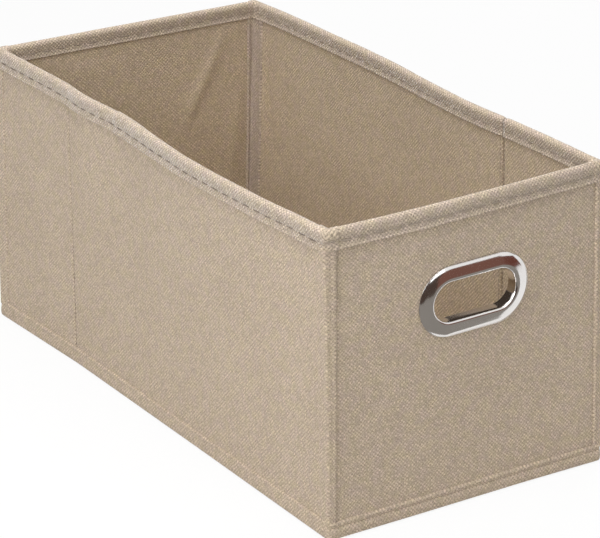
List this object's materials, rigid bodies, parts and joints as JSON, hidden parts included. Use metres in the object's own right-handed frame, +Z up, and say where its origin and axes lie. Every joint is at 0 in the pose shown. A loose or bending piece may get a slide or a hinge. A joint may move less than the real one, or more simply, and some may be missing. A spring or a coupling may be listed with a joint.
{
  "type": "storage box",
  "caption": "Open rectangular fabric storage box with stiff walls that fold flat, a metal-rimmed finger hole in one end and a loose base board.",
  "frame": {"origin": "middle of the bottom cloth's underside, on the surface that the box stands on", "axes": "+Z up, +Y along the long side away from the end with the finger hole, +X across, away from the long wall whose crease is at the far corner"},
  "size_m": [0.1634, 0.3127, 0.15],
  "materials": {
    "outer_cloth": "plain weave, matt",
    "lining": "plain weave, matt",
    "binding": "folded band, stitched",
    "bottom_cloth": "plain weave, matt",
    "card": "grey-brown board",
    "chrome": "bright"
  },
  "bodies": {
    "front_wall": {"front_wall_outer_cloth": "outer_cloth", "front_wall_board": "card", "front_wall_lining": "lining", "front_wall_rim_binding": "binding", "front_wall_hem": "outer_cloth", "front_wall_seam_tape": "lining", "bottom_cloth": "bottom_cloth"},
    "front_wing": {"front_wing_outer_cloth": "outer_cloth", "front_wing_board": "card", "front_wing_lining": "lining", "front_wing_rim_binding": "binding", "front_wing_hem": "outer_cloth", "front_wing_seam_tape": "lining"},
    "rear_wall": {"rear_wall_outer_cloth": "outer_cloth", "rear_wall_board": "card", "rear_wall_lining": "lining", "rear_wall_rim_binding": "binding", "rear_wall_hem": "outer_cloth", "rear_wall_seam_tape": "lining"},
    "rear_wing": {"rear_wing_outer_cloth": "outer_cloth", "rear_wing_board": "card", "rear_wing_lining": "lining", "rear_wing_rim_binding": "binding", "rear_wing_hem": "outer_cloth", "rear_wing_seam_tape": "lining"},
    "far_end": {"far_end_outer_cloth": "outer_cloth", "far_end_board": "card", "far_end_lining": "lining", "far_end_rim_binding": "binding", "far_end_hem": "outer_cloth", "far_end_left_corner_strip": "outer_cloth", "far_end_right_corner_strip": "outer_cloth"},
    "near_end": {"near_end_outer_cloth": "outer_cloth", "near_end_board": "card", "near_end_lining": "lining", "near_end_rim_binding": "binding", "near_end_hem": "outer_cloth", "near_end_left_corner_strip": "outer_cloth", "near_end_right_corner_strip": "outer_cloth", "handle_face": "chrome", "handle_washer": "chrome"},
    "loose_base": {"base_board": "card", "base_cover": "lining"}
  },
  "joints": [
    {"name": "fold", "type": "hinge", "parent": "front_wall", "child": "front_wing", "pos_m": [-0.0757, 0.08, 0], "axis": [0, 0, 1], "range_deg": [0, 165], "deforming": ["front_wall_hem", "front_wing_hem", "far_end_hem", "rear_wall_hem", "rear_wing_hem", "near_end_hem", "bottom_cloth"]},
    {"name": "far_end_turn", "type": "hinge", "parent": "front_wing", "child": "far_end", "pos_m": [-0.0708, 0.1508, 0], "axis": [0, 0, 1], "range_deg": [-87.5, 0]},
    {"name": "rear_wall_turn", "type": "hinge", "parent": "far_end", "child": "rear_wall", "pos_m": [0.0708, 0.1508, 0], "axis": [0, 0, 1], "range_deg": [-77.5, 0]},
    {"name": "near_end_turn", "type": "hinge", "parent": "front_wall", "child": "near_end", "pos_m": [-0.0708, -0.1508, 0], "axis": [0, 0, 1], "range_deg": [0, 77.5]},
    {"name": "rear_wing_turn", "type": "hinge", "parent": "near_end", "child": "rear_wing", "pos_m": [0.0708, -0.1508, 0], "axis": [0, 0, 1], "range_deg": [0, 87.5]},
    {"name": "base_lift", "type": "slide", "parent": "front_wall", "child": "loose_base", "axis": [0, 0, 1], "range_m": [0, 0.2]}
  ],
  "couplings": [
    {"joint": "far_end_turn", "follows": "fold", "ratio": -0.5303},
    {"joint": "rear_wall_turn", "follows": "fold", "ratio": -0.4697},
    {"joint": "near_end_turn", "follows": "fold", "ratio": 0.4697},
    {"joint": "rear_wing_turn", "follows": "fold", "ratio": 0.5303}
  ]
}
